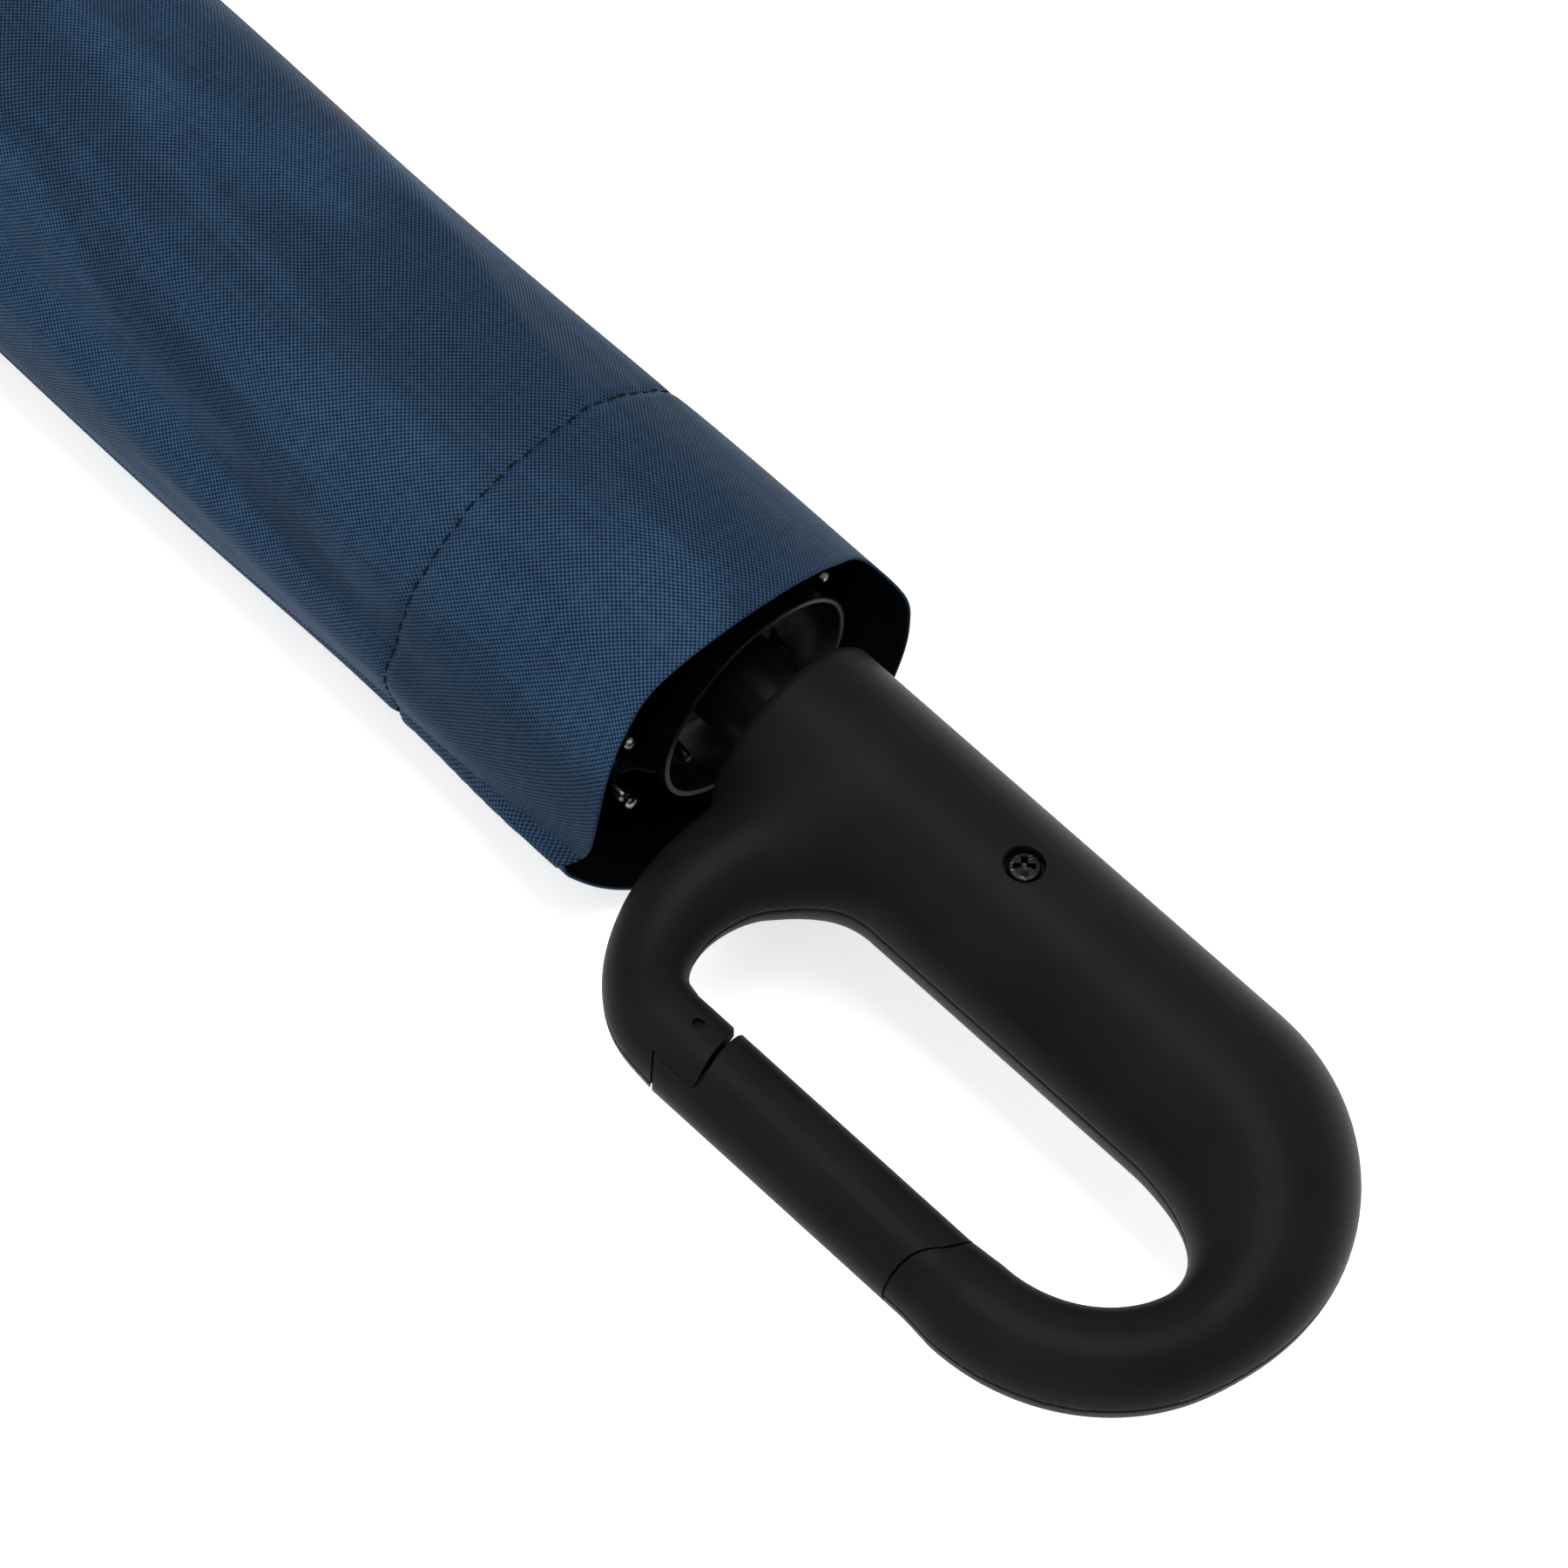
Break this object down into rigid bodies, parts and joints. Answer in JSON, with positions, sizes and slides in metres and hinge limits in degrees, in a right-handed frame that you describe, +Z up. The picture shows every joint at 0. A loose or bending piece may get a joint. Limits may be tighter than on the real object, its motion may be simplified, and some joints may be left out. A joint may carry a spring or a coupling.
{
  "type": "folding umbrella",
  "caption": "Compact folding umbrella with a matte black carabiner loop handle, stored in its navy woven fabric sleeve.",
  "frame": {"origin": "middle line of the flat strip that the sleeve lies on, 60 mm behind the top rim of the handle's stem", "axes": "+X along the shaft towards the handle's loop end, +Y away from the carabiner's gate, +Z up through the face with the handle's screw"},
  "size_m": [0.343, 0.0696, 0.0528],
  "materials": {
    "soft_touch_black": "matte",
    "moulded_nylon": "satin",
    "dark_steel": "satin",
    "spring_steel": "satin",
    "coated_shaft": "satin",
    "coated_ribs": "satin",
    "nickel_tips": "satin",
    "canopy_cloth": "woven",
    "snap_metal": "satin",
    "sleeve_cloth": "woven"
  },
  "bodies": {
    "handle": {"handle_front_shell": "soft_touch_black", "handle_back_shell": "soft_touch_black", "shaft_socket": "moulded_nylon", "handle_screw": "dark_steel", "gate_pin": "dark_steel", "gate_spring": "spring_steel", "button_spring": "spring_steel", "outer_tube": "coated_shaft"},
    "gate": {"gate": "soft_touch_black"},
    "button": {"push_button": "moulded_nylon", "latch_plate": "spring_steel"},
    "middle_tube": {"middle_tube": "coated_shaft"},
    "umbrella_top": {"inner_tube": "coated_shaft", "drive_spring": "spring_steel", "runner": "moulded_nylon", "top_notch": "moulded_nylon", "top_cap": "moulded_nylon", "canopy": "canopy_cloth", "canopy_strap": "canopy_cloth", "strap_snap": "snap_metal", "stretcher_1": "coated_ribs", "stretcher_2": "coated_ribs", "stretcher_3": "coated_ribs", "stretcher_4": "coated_ribs", "stretcher_5": "coated_ribs", "stretcher_6": "coated_ribs", "stretcher_7": "coated_ribs", "stretcher_8": "coated_ribs", "top_rib_1": "coated_ribs", "top_rib_2": "coated_ribs", "top_rib_3": "coated_ribs", "top_rib_4": "coated_ribs", "top_rib_5": "coated_ribs", "top_rib_6": "coated_ribs", "top_rib_7": "coated_ribs", "top_rib_8": "coated_ribs", "middle_rib_1": "coated_ribs", "middle_rib_2": "coated_ribs", "middle_rib_3": "coated_ribs", "middle_rib_4": "coated_ribs", "middle_rib_5": "coated_ribs", "middle_rib_6": "coated_ribs", "middle_rib_7": "coated_ribs", "middle_rib_8": "coated_ribs", "tip_rib_1": "nickel_tips", "tip_rib_2": "nickel_tips", "tip_rib_3": "nickel_tips", "tip_rib_4": "nickel_tips", "tip_rib_5": "nickel_tips", "tip_rib_6": "nickel_tips", "tip_rib_7": "nickel_tips", "tip_rib_8": "nickel_tips"},
    "sleeve": {"sleeve": "sleeve_cloth"}
  },
  "joints": [
    {"name": "gate_hinge", "type": "hinge", "parent": "handle", "child": "gate", "pos_m": [0.0844, -0.0345, 0.0258], "axis": [0, 0, 1], "range_deg": [0, 27], "stiffness_Nm_per_rad": 0.02, "springref_deg": -20.05},
    {"name": "button_press", "type": "slide", "parent": "handle", "child": "button", "axis": [0, 0, 1], "range_m": [0, 0.002], "stiffness_N_per_m": 300, "springref_m": -0.001, "deforming": ["button_spring"]},
    {"name": "middle_tube_slide", "type": "slide", "parent": "handle", "child": "middle_tube", "axis": [-1, 0, 0], "range_m": [0, 0.14]},
    {"name": "top_slide", "type": "slide", "parent": "middle_tube", "child": "umbrella_top", "axis": [-1, 0, 0], "range_m": [0, 0.14]},
    {"name": "sleeve_slide", "type": "slide", "parent": "umbrella_top", "child": "sleeve", "axis": [-1, 0, 0], "range_m": [0, 0.25]}
  ]
}
